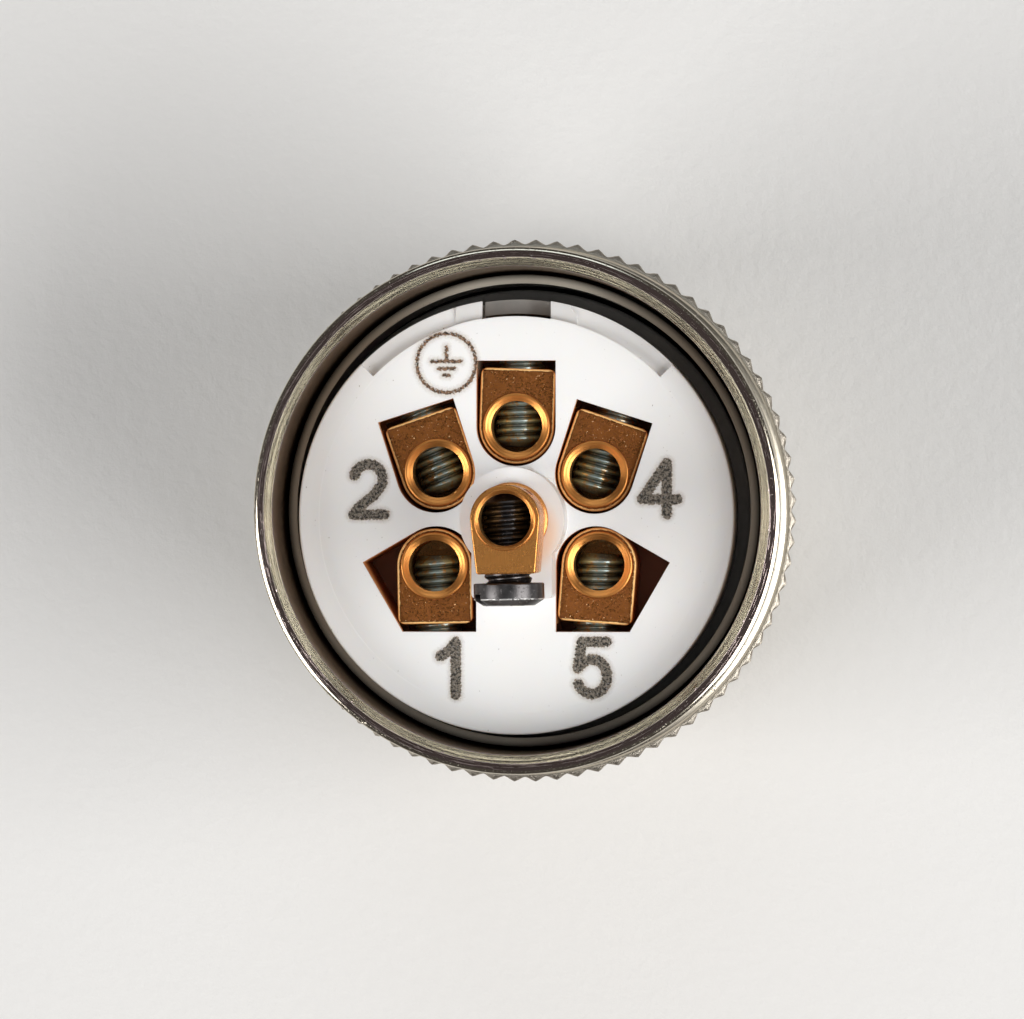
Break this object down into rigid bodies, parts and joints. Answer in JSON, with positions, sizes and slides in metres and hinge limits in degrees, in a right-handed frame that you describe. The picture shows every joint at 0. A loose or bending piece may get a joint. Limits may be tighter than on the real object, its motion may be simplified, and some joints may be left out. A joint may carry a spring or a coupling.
{
  "type": "round cable connector with screw terminals",
  "caption": "Round nickel-plated power connector seen from its cable side, with a knurled coupling nut, a white insert, brass screw terminals and a raised centre terminal.",
  "frame": {"origin": "middle of the mating end, on the connector's axis", "axes": "+Z along the axis from the mating end to the open cable side, +Y from the axis to the earth terminal, +X to the right when seen from the cable side with the earth terminal at the top"},
  "size_m": [0.028, 0.028, 0.0321],
  "materials": {
    "nickel": "turned and nickel-plated, slightly worn",
    "spring_steel": "plain spring steel",
    "dark_steel": "dark steel screws",
    "brass": "turned and milled, bare",
    "white_plastic": "moulded, with laser marks",
    "grey_plastic": "moulded",
    "black_plastic": "moulded, smooth",
    "black_rubber": "matt sealing rubber"
  },
  "bodies": {
    "connector": {"connector_body": "nickel", "nut_snap_ring": "spring_steel", "nut_brake_ring": "black_rubber", "front_seal_ring": "black_rubber", "body_gasket": "black_rubber", "insulating_sleeve": "black_plastic", "terminal_insert": "white_plastic", "contact_carrier": "grey_plastic", "contact_pe": "brass", "contact_2": "brass", "contact_1": "brass", "contact_5": "brass", "contact_4": "brass", "contact_centre": "brass"},
    "coupling_nut": {"coupling_nut": "nickel"},
    "clamp_screw_pe": {"clamp_screw_pe": "dark_steel"},
    "clamp_screw_2": {"clamp_screw_2": "dark_steel"},
    "clamp_screw_1": {"clamp_screw_1": "dark_steel"},
    "clamp_screw_5": {"clamp_screw_5": "dark_steel"},
    "clamp_screw_4": {"clamp_screw_4": "dark_steel"},
    "clamp_screw_centre": {"clamp_screw_centre": "dark_steel"}
  },
  "joints": [
    {"name": "coupling_nut_turn", "type": "hinge", "parent": "connector", "child": "coupling_nut", "pos_m": [0, 0, 0.01475], "axis": [0, 0, 1], "continuous": true},
    {"name": "clamp_screw_pe_travel", "type": "slide", "parent": "connector", "child": "clamp_screw_pe", "axis": [0.0349, 0.9994, 0], "range_m": [-0.00035, 0.0009]},
    {"name": "clamp_screw_2_travel", "type": "slide", "parent": "connector", "child": "clamp_screw_2", "axis": [-0.3223, 0.9466, 0], "range_m": [-0.00035, 0.0024]},
    {"name": "clamp_screw_1_travel", "type": "slide", "parent": "connector", "child": "clamp_screw_1", "axis": [0.0175, -0.9998, 0], "range_m": [-0.00085, 0.0019]},
    {"name": "clamp_screw_5_travel", "type": "slide", "parent": "connector", "child": "clamp_screw_5", "axis": [-0.0785, -0.9969, 0], "range_m": [-0.0008, 0.0019]},
    {"name": "clamp_screw_4_travel", "type": "slide", "parent": "connector", "child": "clamp_screw_4", "axis": [0.3223, 0.9466, 0], "range_m": [-0.00035, 0.0024]},
    {"name": "clamp_screw_centre_travel", "type": "slide", "parent": "connector", "child": "clamp_screw_centre", "axis": [0.0175, -0.9998, 0], "range_m": [-0.00005, 0.0024]}
  ]
}
